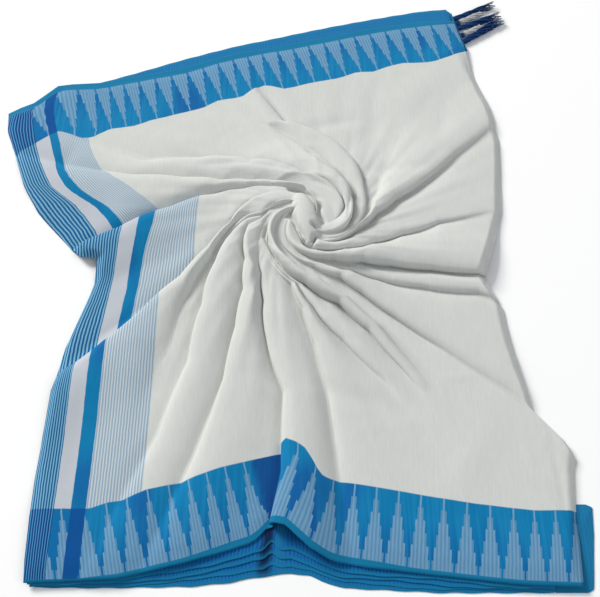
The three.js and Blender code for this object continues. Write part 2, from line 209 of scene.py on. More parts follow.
# %% [markdown]
# The pinched cloth is ruled by its folds. Each fold starts at a crease, a sharp dark line that leaves
# the swirl in a spiral and straightens outwards. On one side of the crease stands the fold's nose, short
# and steep and leaning over the line; behind it the cloth runs down a long slope to the next crease. So
# the whole leaf is a table: where each crease lies at a few distances from the swirl, and how high its
# nose stands. The same table shapes the solid model.

# %% Outline and folds, in millimetres and degrees
OUTLINE = np.array([
    [433, -550], [437, -500], [440, -448], [447, -390], [455, -370], [440, -350], [415, -322],
    [400, -302], [390, -250], [382, -200], [377, -130], [358, -95], [355, -70], [360, -55], [377, -7],
    [395, 50], [404, 140], [409, 205], [398, 280], [378, 360], [370, 415], [352, 498], [290, 491],
    [200, 474], [100, 447], [0, 420], [-50, 410], [-100, 392], [-150, 371], [-200, 359], [-300, 335],
    [-372, 330], [-410, 288], [-430, 280], [-455, 266], [-450, 225], [-427, 170], [-400, 100],
    [-370, 50], [-325, 0], [-288, -41], [-260, -42], [-262, -90], [-272, -125], [-293, -200],
    [-303, -270], [-308, -400], [-302, -545], [-180, -540], [-100, -522], [-50, -508], [0, -492],
    [20, -470], [40, -472], [60, -490], [75, -503], [105, -518], [150, -525], [250, -536], [350, -547],
], dtype=float)

CREASE_AT = np.array([15, 25, 35, 50, 70, 90, 120, 160, 220, 300, 420, 600], dtype=float)
NOSE_AT = np.array([20, 50, 90, 130, 180, 250, 350, 600], dtype=float)
# name, crease direction at each distance of CREASE_AT, nose height at each distance of NOSE_AT,
# and the number of mesh columns on the slope behind the nose
FOLDS = [
    ("lower_right_corner", [-245, -210, -184, -158, -124, -96, -74, -63, -58, -57, -57, -57.5],
     [0, 0, 0, 0, 0, 0, 0, 0], 12),
    ("long_right_fold", [-228, -193, -168, -142, -108, -80, -61, -55, -51, -47.5, -44.6, -44],
     [0, 0, 7.5, 14, 12.5, 9.5, 6.5, 3], 14),
    ("soft_ridge_right", [-215, -180, -155, -128, -95, -68, -51, -42, -33, -25.5, -24, -24],
     [0, 0, 0, 4, 9, 9, 5, 0], 8),
    ("waist_fold", [-185, -160, -140, -118, -86, -58, -39, -30, -23, -18, -17, -17],
     [0, 6, 19, 22.5, 21, 17, 11, 8], 14),
    ("thin_right_fold", [-140, -119, -100, -86, -60, -38, -20, -8, 0.5, 4, 5, 5],
     [5, 12.5, 10, 9, 7.5, 5, 0, 0], 16),
    ("upper_right_fold", [-125, -100, -80, -60, -38, -12, 8, 18, 23.5, 29, 33, 34],
     [0, 0, 15, 15, 13, 9.5, 5.5, 2.5], 16),
    ("upper_right_corner", [-112, -96, -75, -55, -34, -7, 20, 36, 46, 53, 58, 59.2],
     [0, 0, 0, 0, 0, 0, 0, 0], 26),
    ("outer_roll", [-100, -92, -70, -50, -29, -2, 35, 62, 99, 105, 106, 106],
     [0, 0, 4, 10, 11, 6, 0, 0], 8),
    ("inner_roll", [-85, -80, -55, -35, -12, 32, 70, 92, 107, 114, 116, 117],
     [0, 4, 16, 12.5, 4, 0, 0, 0], 20),
    ("upper_left_long_fold", [-55, -50, -25, -5, 22, 93, 111, 129, 143, 154, 155, 155],
     [0, 0, 14, 16, 15, 9.5, 2, 0], 8),
    ("eye_fold", [-10, 31, 53, 82, 109, 123, 138, 150, 157, 161.5, 163, 163],
     [9.5, 16, 6, 9, 16, 14.5, 10, 2], 16),
    ("side_tuck", [5, 40, 62, 90, 116, 130, 146, 159, 172, 182, 191, 191],
     [0, 0, 0, 2.5, 10, 12, 12, 4], 16),
    ("lower_left_tuck", [25, 58, 85, 113, 131, 152, 184, 199, 209, 213.5, 216, 216],
     [0, 2.5, 6, 12.5, 16, 14.5, 9, 2], 12),
    ("lower_left_corner", [55, 95, 120, 148, 172, 175, 187, 204, 216, 228, 234, 237],
     [0, 9, 6, 0, 0, 0, 0, 0], 8),
    ("left_pleat", [65, 102, 127, 155, 176, 179, 195, 211, 225.5, 235, 240, 242],
     [0, 0, 5, 15, 17.5, 13, 7.5, 2], 10),
    ("middle_pleat", [75, 110, 134, 162, 183, 190, 222, 236, 243, 247.5, 248.5, 248.5],
     [0, 0, 10, 19, 20, 17, 11, 2], 14),
    ("bottom_ridge", [85, 117, 141, 168, 196, 218, 237, 248, 256, 265, 266.3, 263.5],
     [0, 0, 0, 7.5, 14, 14.5, 18.5, 22], 12),
    ("narrow_pleat", [92, 123, 148, 174, 205, 232, 261, 270, 274.4, 276.7, 276.5, 276.5],
     [0, 0, 0, 11, 12.5, 9.5, 4.5, 0], 12),
    ("short_pleat", [98, 129, 154, 179, 211, 239, 266, 276, 285.5, 293, 296, 297],
     [0, 0, 0, 7.5, 11, 8.5, 0, 0], 8),
    ("great_spiral_fold", [105, 135, 160, 184, 218, 246, 272, 290, 297, 299.5, 301, 301.5],
     [2.5, 11, 24, 25, 20, 11, 0, 0], 6),
]
NOSE_COLUMNS = 5
CREASES = np.array([row[1] for row in FOLDS], dtype=float)
NOSES = np.array([row[2] for row in FOLDS], dtype=float)
print(len(FOLDS), "folds,", int((NOSES.max(axis=1) > 0).sum()), "of them raised")

# %% [markdown]
# The ground under the folds is the pile of hidden leaves: level in the middle, raised at the pinch, and
# coming down at the rim. It is a function of the distance from the swirl, the rim's distance and the
# direction, so the leaf and the layers under it can share it.

# %% Ground of the top leaf
FLAT_TOP = 12.0
SWIRL_RISE = 25.0
SWIRL_REACH = 115.0
EDGE_DROP = 34.0
SIDE_DROP = 16.0
BORDER_RIM = 9.2
SIDE_RIM = 2.2


def smooth(t):
    """0 below 0, 1 above 1, and between them three t squared minus two t cubed."""
    u = np.clip(t, 0.0, 1.0)
    return u * u * (3 - 2 * u)


def outline_reach():
    """The outline's distance from the swirl at each tenth of a degree: a ray cut with every side."""
    angles = np.radians(np.arange(0, 3600) / 10)
    start = OUTLINE - SWIRL
    side = np.roll(start, -1, axis=0) - start
    dx, dy = np.cos(angles)[:, None], np.sin(angles)[:, None]
    det = side[:, 0] * dy - side[:, 1] * dx
    det = np.where(np.abs(det) < 1e-9, 1e-9, det)
    share = (start[:, 1] * dx - start[:, 0] * dy) / det
    distance = (start[:, 1] * side[:, 0] - start[:, 0] * side[:, 1]) / det
    hit = (share >= -1e-6) & (share <= 1 + 1e-6) & (distance > 0)
    return np.where(hit, distance, 0).max(axis=1)


REACH = outline_reach()


def reach(angle):
    """Outline distance at any angle in degrees, read from the table of tenths."""
    return np.interp(np.mod(angle, 360), np.arange(3601) / 10, np.append(REACH, REACH[0]))


def bordered(angle):
    """1 along the two bordered edges and 0 at the leaf's two ends, with smooth steps between."""
    a = np.mod(angle, 360)
    upper = smooth((a - 46) / 8) * smooth((158 - a) / 8)
    lower = smooth((a - 227) / 6) * smooth((308 - a) / 5)
    return np.maximum(upper, lower)


def ground(r, rim, angle):
    """Rim height, plus a smooth step up to the pile over the drop, plus a bell round the swirl."""
    share = bordered(angle)
    edge = SIDE_RIM + (BORDER_RIM - SIDE_RIM) * share
    drop = SIDE_DROP + (EDGE_DROP - SIDE_DROP) * share
    return (edge + (FLAT_TOP - edge) * smooth((rim - r) / drop)
            + SWIRL_RISE * np.exp(-((r / SWIRL_REACH) ** 2)))


print("outline reaches from", round(REACH.min()), "to", round(REACH.max()), "mm from the swirl")

# %% [markdown]
# The mesh follows the folds: its columns run along the creases and its rows are rings round the swirl.
# So each crease is a line of the mesh and stays crisp, and the columns crowd where the nose turns over.

# %% The top leaf's surface
def leaf_columns():
    """For each mesh column: its fold, how far it is over the nose, and how far down the slope."""
    fold, nose_share, slope_share = [], [], []
    for index, row in enumerate(FOLDS):
        raised = max(row[2]) > 0
        over = NOSE_COLUMNS if raised else 1
        fold += [index] * (over + row[3] - 1)
        nose_share += list(np.arange(over) / over) + [1.0] * (row[3] - 1)
        slope_share += [0.0] * over + list((np.arange(1, row[3]) / row[3]) ** 1.1)
    return np.array(fold), np.array(nose_share), np.array(slope_share)


DEEPEST_DIP = 3.2
DIP_REACH = 13.0
SLOPE_REACH = 80.0


def leaf_surface(r, rim, fold, nose_share, slope_share):
    """Angle and height on the grid r by column.

    The sector between two creases has width w. The nose is a quarter sine that rises over a few
    millimetres and leans back over the crease; the slope behind is a quarter cosine down to the next.
    """
    out_angle = np.empty(r.shape)
    out_z = np.empty(r.shape)
    for column in range(r.shape[1]):
        rr = r[:, column]
        i = fold[column]
        j = (i + 1) % len(FOLDS)
        start = np.interp(rr, CREASE_AT, CREASES[i])
        stop = np.interp(rr, CREASE_AT, CREASES[j]) + (360 if j == 0 else 0)
        width = np.maximum(rr * np.radians(stop - start), 0.5)
        high = np.interp(rr, NOSE_AT, NOSES[i]) * smooth(rr / 20)
        widening = 0.055 * np.maximum(rr - 110, 0) * smooth((15 - high) / 8)
        nose = np.minimum(0.33 * width, 3.0 + 0.34 * high + widening)
        back = np.minimum(width - nose, SLOPE_REACH)
        d = nose * nose_share[column] + (width - nose) * slope_share[column]
        over = nose_share[column] if slope_share[column] == 0 else 1.0
        lean = np.minimum(0.5 * high, 0.28 * width) * 4 * over * (1 - over)
        rise = math.sin(math.pi / 2 * over)
        own_dip = np.minimum(0.30 * high, DEEPEST_DIP)
        next_dip = np.minimum(0.30 * np.interp(rr, NOSE_AT, NOSES[j]), DEEPEST_DIP)
        to_next = (d - nose) / (width - nose)
        if over < 1:
            dip = own_dip * (1 - rise)
        else:
            dip = next_dip * np.exp(-(((width - d) / DIP_REACH) ** 2)) * smooth(2 * to_next)
        dip = dip * smooth((rim[column] - rr - 4) / 30)
        crowded = 1 - smooth((width - 90) / 60)
        tube = 1 - np.clip((d - nose) / (width - nose), 0, 1) ** 2.2
        long_slope = np.cos(math.pi / 2 * np.clip((d - nose) / back, 0, 1)) ** 1.3
        fall = crowded * tube + (1 - crowded) * long_slope
        out_angle[:, column] = start + (stop - start) * (d - lean) / width
        lift = high * (rise if over < 1 else fall) - dip
        out_z[:, column] = ground(rr, rim[column], out_angle[:, column]) + lift
    return out_angle, out_z


def column_ends(fold, nose_share, slope_share):
    """The first distance at which each column passes the outline."""
    r = np.arange(245, 720, 0.5)
    grid = np.repeat(r[:, None], len(fold), axis=1)
    angle, _ = leaf_surface(grid, np.full(len(fold), 1e4), fold, nose_share, slope_share)
    return r[np.argmax(grid >= reach(angle), axis=0)]


fold_of, nose_share, slope_share = leaf_columns()
rim_of = column_ends(fold_of, nose_share, slope_share)
INNER, OUTER = 92, 46                    # rings inside and outside RING_END
RING_START, RING_END = 3, 242            # mm from the swirl
inner_r = RING_START + (RING_END - RING_START) * (np.arange(INNER + 1) / INNER) ** 1.25
outer_share = 1 - (1 - np.arange(1, OUTER + 1) / OUTER) ** 1.15
leaf_r = np.vstack([np.repeat(inner_r[:, None], len(fold_of), axis=1),
                    RING_END + (rim_of - RING_END) * outer_share[:, None]])
leaf_angle, leaf_z = leaf_surface(leaf_r, rim_of, fold_of, nose_share, slope_share)
print("top leaf grid:", leaf_r.shape)

# %% [markdown]
# Two finer layers go on top. Broad soft dents, each a listed oval bell, stand for the places where the
# cloth sags between folds. Small wrinkles are sums of slow waves; they run out from the swirl as the
# pulled cloth does, and fade on the flat borders.

# %% Dents, press lines and wrinkles
# middle x and y, half length and half width in mm, direction of the length in degrees, height in mm
DENTS = [
    (190, 250, 60, 16, 82, -2.4), (172, 205, 34, 12, 60, -1.8), (312, 238, 40, 14, 75, -1.6),
    (230, 133, 62, 12, 2, -2.0), (245, 300, 70, 26, 40, 1.6), (20, 250, 48, 12, 112, -2.4),
    (120, 236, 48, 12, 12, -2.2), (130, -282, 50, 14, -20, -1.8), (175, -305, 26, 9, -60, -1.5),
    (-150, 200, 90, 20, -8, 1.6), (-335, 160, 30, 12, 70, -2.2), (-60, 240, 70, 22, 5, 1.2),
    (-190, -300, 90, 22, 84, 1.6), (-255, -330, 90, 14, 88, -1.2), (300, -380, 90, 24, 60, 1.6),
    (250, -460, 120, 18, -6, -1.2), (330, 30, 50, 16, 20, 1.8), (-90, 340, 110, 22, 12, 1.2),
]
# straight creases left by pressing: two ends in mm and height in mm
PRESS_LINES = [
    (-272, -192, -155, -192, 1.0), (-290, -222, -160, -232, 0.8), (-268, -246, -115, -246, 1.0),
    (-45, -238, 20, -228, 0.8), (237, -257, 300, -250, 1.2), (140, -330, 260, -318, 0.5),
    (420, -345, 424, -448, -1.2),
]


def dent(x, y, row):
    """An oval bell: height times e to minus the squared distance in half lengths."""
    cx, cy, half_length, half_width, direction, height = row
    c, s = math.cos(math.radians(direction)), math.sin(math.radians(direction))
    along = ((x - cx) * c + (y - cy) * s) / half_length
    across = (-(x - cx) * s + (y - cy) * c) / half_width
    return height * np.exp(-(along ** 2) - across ** 2)


def press_line(x, y, row):
    """A narrow ridge along a segment: height times a bell 3 mm wide, fading past the ends."""
    x0, y0, x1, y1, height = row
    length = math.hypot(x1 - x0, y1 - y0)
    ux, uy = (x1 - x0) / length, (y1 - y0) / length
    along = (x - x0) * ux + (y - y0) * uy
    across = -(x - x0) * uy + (y - y0) * ux
    beyond = np.maximum(np.maximum(-along, along - length), 0) / 8
    return height * np.exp(-((across / 3.2) ** 2) - beyond ** 2)


# dark grooves of the rosette: points, depth, half width and run-out at the two ends, all in mm
GROOVES = [
    ([(46, 80), (62, 74), (75, 72), (85, 64), (90, 52), (91, 27), (99, 11)], 12.0, 2.9, 0),
    ([(44, 27), (52, 15), (57, 1), (67, -18), (71, -31), (79, -39), (86, -18)], 11.0, 2.8, 0),
    ([(52, 34), (44, 27), (41, 22)], 7.0, 2.4, 0),
    ([(82, 2), (87, -3)], 9.0, 3.0, 0),
    ([(2, 32), (10, 42), (17, 48), (26, 52)], 6.5, 2.8, 12),
    ([(11, 13), (5, -11), (14, -30), (23, -48)], 6.0, 3.0, 12),
    ([(142, 13), (140, 48), (154, 79), (128, 112), (90, 150), (65, 179)], 5.2, 3.3, 22),
    ([(-118, 139), (-22, 136), (30, 122), (62, 111), (92, 92), (111, 80), (128, 70)], 4.0, 3.0, 50),
    ([(75, -39), (109, -47), (156, -43)], 4.5, 2.8, 30),
]


HEART_MIDDLE = (71.0, 19.0)
HEART_HALF_LENGTH = 55.0
HEART_HALF_WIDTH = 20.0
HEART_DIRECTION = math.radians(102.0)
HEART_HEIGHT = 11.0


def with_heart(x, y, r, z):
    """The middle of the rosette: a smooth oval dome that takes over from the folds inside its outline."""
    dx, dy = x - HEART_MIDDLE[0], y - HEART_MIDDLE[1]
    c, s = math.cos(HEART_DIRECTION), math.sin(HEART_DIRECTION)
    along = dx * c + dy * s
    across = dy * c - dx * s
    q = np.hypot(along / HEART_HALF_LENGTH, across / HEART_HALF_WIDTH)
    swell = SWIRL_RISE * np.exp(-((r / SWIRL_REACH) ** 2))
    dome = FLAT_TOP + swell + HEART_HEIGHT * np.sqrt(np.clip(1 - q ** 2, 0, 1))
    share = smooth((1.05 - q) / 0.2)
    return z + (dome - z) * share


def groove(x, y, row):
    """A furrow along joined segments: depth times a bell of the distance to the nearest one.

    A long furrow runs out over the last millimetres at its two ends.
    """
    line, depth, half_width, runs_out = row
    nearest = np.full_like(x, 1e9)
    to_start = np.hypot(x - line[0][0], y - line[0][1])
    to_end = np.minimum(to_start, np.hypot(x - line[-1][0], y - line[-1][1]))
    for (x0, y0), (x1, y1) in zip(line[:-1], line[1:]):
        length = math.hypot(x1 - x0, y1 - y0)
        along = np.clip(((x - x0) * (x1 - x0) + (y - y0) * (y1 - y0)) / length ** 2, 0, 1)
        away = np.hypot(x - x0 - along * (x1 - x0), y - y0 - along * (y1 - y0))
        nearest = np.minimum(nearest, away)
    return -depth * np.exp(-((nearest / half_width) ** 2)) * smooth((to_end + 1) / (runs_out + 1))


def wrinkles(r, angle, x, y):
    """Slow waves round the swirl, drawn out along the pull, plus a faint all-over unevenness."""
    twist = angle + 55 * np.exp(-r / 90)
    a = np.radians(twist)
    rays = (0.55 * np.sin(23 * a + 1.3 * np.sin(r / 70)) + 0.45 * np.sin(41 * a + r / 85 + 2)
            + 0.30 * np.sin(67 * a - r / 60))
    near = smooth((r - 40) / 60) * (0.35 + 0.65 * np.exp(-((r - 130) / 150) ** 2))
    slow = 0.45 * np.sin(x / 47 + 1.1 * np.sin(y / 61)) * np.sin(y / 53 + 0.8 * np.sin(x / 71))
    fine = 0.16 * np.sin(x / 11 + 2.1 * np.sin(y / 23)) * np.sin(y / 13 + 1.7 * np.sin(x / 19))
    return rays * near + slow + fine


leaf_x = SWIRL[0] + leaf_r * np.cos(np.radians(leaf_angle))
leaf_y = SWIRL[1] + leaf_r * np.sin(np.radians(leaf_angle))
inside = smooth((rim_of - leaf_r) / 12)
extra = wrinkles(leaf_r, leaf_angle, leaf_x, leaf_y)
for row in DENTS:
    extra = extra + dent(leaf_x, leaf_y, row)
for row in PRESS_LINES:
    extra = extra + press_line(leaf_x, leaf_y, row)
for row in GROOVES:
    extra = extra + groove(leaf_x, leaf_y, row)
leaf_z = with_heart(leaf_x, leaf_y, leaf_r, leaf_z)
leaf_z = np.maximum(leaf_z + extra * (0.25 + 0.75 * inside), 1.4)
print("top leaf height from", round(float(leaf_z.min()), 1), "to", round(float(leaf_z.max()), 1), "mm")

# %% [markdown]
# The woven pattern follows the cloth, not the room, so it is laid on with two UV maps. In the map named
# pallu the first coordinate is the distance from the cloth's end in millimetres: the dense stripes end
# at 45, the pale band at 67, the solid band at 87 and the fine stripes at 158. In the map named border
# the first coordinate counts the temple teeth along the border and the second runs from 0 at the selvedge
# to 1 where the field starts. The cloth is folded over itself at two tucks, so the pattern jumps there:
# each mesh face reads the rows of its own part.

# %% Where the woven bands lie
# distance from the swirl of each line, by direction; upper flap first, then the part between the tucks
FLAP_AT = [146, 150, 154, 158, 162, 166, 170, 174, 178, 182, 186]
FLAP_LINES = np.array([
    [566, 563, 571, 560, 528, 500, 477, 452, 426, 400, 381],
    [560, 560, 531, 503, 478, 452, 427, 380, 355, 338, 330],
    [548, 532, 500, 471, 446, 427, 400, 347, 322, 308, 300],
    [530, 512, 482, 452, 431, 411, 375, 325, 302, 287, 280],
    [470, 440, 414, 388, 357, 300, 262, 232, 208, 192, 182],
], dtype=float)
MIDDLE_AT = [160, 168, 174, 180, 186, 192, 198, 204, 210, 216]
MIDDLE_LINES = np.array([
    [335, 335, 335, 335, 337, 340, 347, 375, 415, 448],
    [296, 294, 292, 292, 297, 303, 314, 331, 354, 386],
    [262, 264, 266, 268, 271, 279, 290, 302, 324, 352],
    [238, 240, 242, 243, 250, 260, 270, 283, 303, 328],
    [180, 176, 174, 173, 175, 178, 182, 190, 200, 212],
], dtype=float)
LOWEST_LINES = [373.0, 341.0, 318.0, 297.5, 222.0]   # left of the swirl, straight down the leaf


BAND_WIDTHS = [45.0, 22.0, 20.0, 71.0]   # dense stripes, pale band, solid band, fine stripes, in mm
FAR_FROM_END = 400.0                     # the pallu coordinate where no band lies


def from_end(r, lines):
    """Millimetres from the cloth's end: each band adds its width times its share outside the point."""
    total = np.minimum(lines[0] - r, 0)
    for k, wide in enumerate(BAND_WIDTHS):
        total = total + wide * np.clip((lines[k] - r) / np.maximum(lines[k] - lines[k + 1], 1.0), 0, 1)
    return total + np.clip(lines[4] - r, 0, 200)


def pallu_coordinate(part, r, angle):
    """Millimetres from the cloth's end, for a part of the leaf.

    The parts are 0 the upper flap, 1 between the tucks, 2 below them and 3 the rest.
    """
    a = np.mod(angle, 360)
    if part == 0:
        return from_end(r, [np.interp(a, FLAP_AT, row) for row in FLAP_LINES])
    if part == 1:
        return from_end(r, [np.interp(a, MIDDLE_AT, row) for row in MIDDLE_LINES])
    if part == 2:
        x = -r * np.cos(np.radians(a))
        y = SWIRL[1] + r * np.sin(np.radians(a))
        edge = np.interp(y, [-545, -400, -270, -200], [370, 376, 371, 361])
        return from_end(x, [edge] + LOWEST_LINES[1:])
    return np.full_like(r, FAR_FROM_END)


# selvedge and inner edge of each border, as y at x
TOP_OUTER = ([-455, -430, -410, -372, -300, -200, -150, -100, -50, 0, 100, 200, 290, 352],
             [266, 280, 288, 330, 335, 359, 371, 392, 410, 420, 447, 474, 491, 498])
TOP_INNER = ([-455, -427, -400, -375, -357, -340, -320, -305, -290, -270, -225, -200, -150, -110, -85,
              -40, -20, 0, 20, 35, 80, 130, 165, 195, 220, 250, 285, 310, 340, 370],
             [150, 170, 187, 207, 220, 215, 205, 203, 210, 224, 232, 245, 260, 273, 290,
              298, 318, 328, 322, 318, 332, 343, 359, 360, 372, 382, 382, 387, 400, 415])
LEFT_OUTER = ([-310, -230, -180, -100, -50, 0, 18, 30], [-547, -545, -540, -522, -508, -492, -471, -466])
LEFT_INNER = ([-310, -225, -200, -180, -150, -100, -50, 0, 30, 45],
              [-447, -447, -438, -435, -422, -410, -392, -378, -370, -366])
RIGHT_OUTER = ([15, 20, 40, 60, 75, 105, 150, 250, 350, 433],
               [-466, -470, -472, -490, -503, -518, -525, -536, -547, -550])
RIGHT_INNER = ([20, 35, 42, 55, 68, 78, 90, 100, 150, 200, 250, 300, 350, 380, 440],
               [-372, -358, -352, -357, -365, -380, -402, -407, -415, -423, -432, -440, -446, -449, -449])
# tips of the temple teeth: x, and the tooth's number
TOP_TEETH = ([-490, -420, -385, -340, -303, -228, -113, 22, 165, 340, 370],
             [-4, -2, -1, 0, 1, 4, 8, 13, 18, 24, 25])
LOWER_TEETH = ([-352, -290, -258, -197, -97, -8, 104, 225, 350, 435, 477],
               [-3, -1, 0, 2, 5.5, 9, 13, 17, 21, 24, 25.5])


LAST_TOOTH = 9.5


def border_coordinate(side, x, y):
    """Tooth number and height in the border, from the border's two edge lines at the point's x."""
    outer_line = [TOP_OUTER, LEFT_OUTER, RIGHT_OUTER][side]
    inner_line = [TOP_INNER, LEFT_INNER, RIGHT_INNER][side]
    lean = [0.27, -0.22, np.interp(x, [20, 60, 110, 160], [0.32, 0.28, 0.12, 0.10])][side]
    outer = np.interp(x, *outer_line)
    inner = np.interp(x, *inner_line)
    depth = np.abs(y - outer)
    height = (y - outer) / (inner - outer)
    # the upper border's selvedge shows wider, the lower one's narrower away from the ridge
    widening = 0.05 if side == 0 else -0.035 * smooth((np.abs(x - 60) - 80) / 80)
    height = height - widening * np.clip(1 - height, 0, 1)
    tip_x = x + np.clip(75 - depth, -40, 75) * lean
    tooth = np.interp(tip_x, *(TOP_TEETH if side == 0 else LOWER_TEETH))
    if side == 1:   # the cloth in the valley beside the ridge shows no tooth
        tooth = np.minimum(tooth, LAST_TOOTH)
    return tooth + (0 if side == 0 else 100), np.clip(height, 0, 4)


# %% [markdown]
# The leaf is closed into a thin shell: the same grid again, lower by the thickness of the cloth, joined
# round the rim.

# %% Top leaf mesh
CLOTH = 0.9      # mm, a handloom cotton with its loft


def shell_faces(rows, columns):
    """Quads of a ring grid's upper side, its underside turned over, and the rim that joins them."""
    upper = grid_quads(rows, columns)
    under = upper[:, ::-1] + rows * columns
    c = np.arange(columns)
    last = (rows - 1) * columns
    rim = np.stack([last + c, last + c + rows * columns, last + (c + 1) % columns + rows * columns,
                    last + (c + 1) % columns], axis=-1)
    return upper, under, rim


rows, columns = leaf_r.shape
upper_points = np.stack([leaf_x, leaf_y, leaf_z], axis=-1).reshape(-1, 3)
under_points = upper_points - [0, 0, CLOTH]
middle = np.array([[SWIRL[0], SWIRL[1], leaf_z[0].mean()], [SWIRL[0], SWIRL[1], leaf_z[0].mean() - CLOTH]])
upper, under, rim = shell_faces(rows, columns)
eye = 2 * rows * columns
ring = np.arange(columns)
caps = fan(eye, 0, columns) + fan(eye + 1, rows * columns, columns, turned=True)
quads = np.vstack([upper, under, rim])
top_leaf = add_mesh("top_leaf_cloth", in_metres(np.vstack([upper_points, under_points, middle])),
                    quads.tolist() + caps)

# the part of the leaf that each fold lies in, and the folds left of the ridge
PARTS = np.array([3] * 7 + [0] * 4 + [1] + [2] * 5 + [3] * 3)
LEFT_FOLDS = [11, 12, 13, 14, 15]


def leaf_uv(mesh):
    """Reads both UV maps corner by corner, each face by the part of the leaf that its column is in."""
    corner_vertex = corner_vertices(mesh)
    sizes = np.array([len(quads[0])] * len(quads) + [3] * len(caps))
    face_column = np.concatenate([np.tile(np.arange(columns), rows - 1)] * 2 + [ring, ring, ring])
    corner_column = np.repeat(face_column, sizes)
    grid = corner_vertex % (rows * columns)
    grid = np.where(corner_vertex >= eye, 0, grid)
    r, angle = leaf_r.reshape(-1)[grid], leaf_angle.reshape(-1)[grid]
    x, y = leaf_x.reshape(-1)[grid], leaf_y.reshape(-1)[grid]
    part = PARTS[fold_of[corner_column]]
    pallu = np.choose(part, [pallu_coordinate(k, r, angle) for k in range(4)])
    lower_side = np.where(np.isin(fold_of[corner_column], LEFT_FOLDS), 1, 2)
    side = np.where((y > 0) | (part == 0), 0, lower_side)
    tooth = np.choose(side, [border_coordinate(k, x, y)[0] for k in range(3)])
    height = np.choose(side, [border_coordinate(k, x, y)[1] for k in range(3)])
    add_uv_map(mesh, "pallu", pallu, y / 100)
    add_uv_map(mesh, "border", tooth, height)
    return pallu


pallu_values = leaf_uv(top_leaf.data)
print("top leaf:", len(top_leaf.data.polygons), "faces; pallu from", round(float(pallu_values.min()), 2))

# %% [markdown]
# The cloth's finish is plain-woven cotton: matt, a little slubby, with a faint fuzz that sheen gives.
# Real threads are about half a millimetre apart and would not show at this distance, so the weave is
# drawn a little coarser, with longer slubs over it. The border is the same cotton dyed azure, with the
# temple teeth brought up in pale extra threads.

# %% Woven cotton
def weave_bump(tree, shader, strength):
    """Bump of two crossing sets of threads with noise stretched along one of them for slubs."""
    place = add_node(tree, "TexCoord", output="Object")
    thread = {"Vector": place, "Distortion": 1.4, "Detail": 1.0, "Detail Scale": 1.5}
    warp = add_node(tree, "TexWave", {**thread, "Scale": 260.0}, "Fac", bands_direction="X")
    weft = add_node(tree, "TexWave", {**thread, "Scale": 240.0}, "Fac", bands_direction="Y")
    squeezed = add_node(tree, "Mapping", {"Vector": place, "Scale": (420.0, 46.0, 60.0)})
    slubs = add_node(tree, "TexNoise", {"Vector": squeezed, "Scale": 1.0, "Detail": 3.0}, "Fac")
    threads = add_node(tree, "Math", {0: warp, 1: weft}, operation="ADD")
    height = add_node(tree, "Math", {0: slubs, 1: 1.6, 2: threads}, operation="MULTIPLY_ADD")
    bump = add_node(tree, "Bump", {"Height": height, "Strength": strength, "Distance": 0.0004})
    tree.links.new(bump, shader.inputs["Normal"])
    return slubs


def cotton_material(name, weave):
    """Matt cotton: rough, weak specular, a faint pale sheen and a weave of the given strength."""
    material, tree, shader = new_material(name)
    shader.inputs["Roughness"].default_value = 0.88
    shader.inputs["Specular IOR Level"].default_value = 0.14
    shader.inputs["Sheen Weight"].default_value = 0.05
    shader.inputs["Sheen Roughness"].default_value = 0.5
    return material, tree, shader, weave_bump(tree, shader, weave)


saree_cotton, tree, shader, slubs = cotton_material("handloom_cotton_temple_border", 0.35)
pallu_map = add_node(tree, "UVMap", uv_map="pallu")
border_map = add_node(tree, "UVMap", uv_map="border")
straight_count = add_node(tree, "SeparateXYZ", {0: pallu_map})
straight_tooth = add_node(tree, "SeparateXYZ", {0: border_map})
height = straight_tooth.node.outputs[1]
# hand-woven lines waver by about a millimetre
place = add_node(tree, "TexCoord", output="Object")
waver = add_node(tree, "TexNoise", {"Vector": place, "Scale": 75.0, "Detail": 1.0}, "Fac")
waver = add_node(tree, "Math", {0: waver, 1: 0.5}, operation="SUBTRACT")
count = add_node(tree, "Math", {0: waver, 1: 1.3, 2: straight_count}, operation="MULTIPLY_ADD")
tooth = add_node(tree, "Math", {0: waver, 1: 0.04, 2: straight_tooth}, operation="MULTIPLY_ADD")
# thread by thread the dye takes unevenly, in streaks about 4 mm apart; broad deeper patches come from slow
# noise
streaked = add_node(tree, "Mapping", {"Vector": place, "Scale": (240.0, 9.0, 20.0)})
streaks = add_node(tree, "TexNoise", {"Vector": streaked, "Scale": 1.0, "Detail": 2.0}, "Fac")
patch_place = add_node(tree, "Mapping", {"Vector": place, "Scale": (17.0, 6.0, 8.0)})
patches = add_node(tree, "TexNoise", {"Vector": patch_place, "Scale": 1.0, "Detail": 1.0}, "Fac")

field = add_node(tree, "Mix", {0: slubs, 6: "#C9CCC8", 7: "#D8DAD6"}, **COLOUR)
# 1 before the far line of each band, over a soft edge 0.6 mm wide
in_dense, in_pale, in_band, in_fine = [
    add_node(tree, "MapRange", {0: count, 1: float(line) + 0.3, 2: float(line) - 0.3})
    for line in np.cumsum(BAND_WIDTHS)]
# dense stripes: nine light and blue pairs over the first part
dense_count = add_node(tree, "Math", {0: count, 1: 1 / 2.5}, operation="MULTIPLY")
dense_wave = add_node(tree, "Math", {0: dense_count, 1: 1.0}, operation="PINGPONG")
dense_line = add_node(tree, "MapRange", {0: dense_wave, 1: 0.40, 2: 0.68})
dense = add_node(tree, "Mix", {0: dense_line, 6: "#13558C", 7: "#76B0CC"}, **COLOUR)
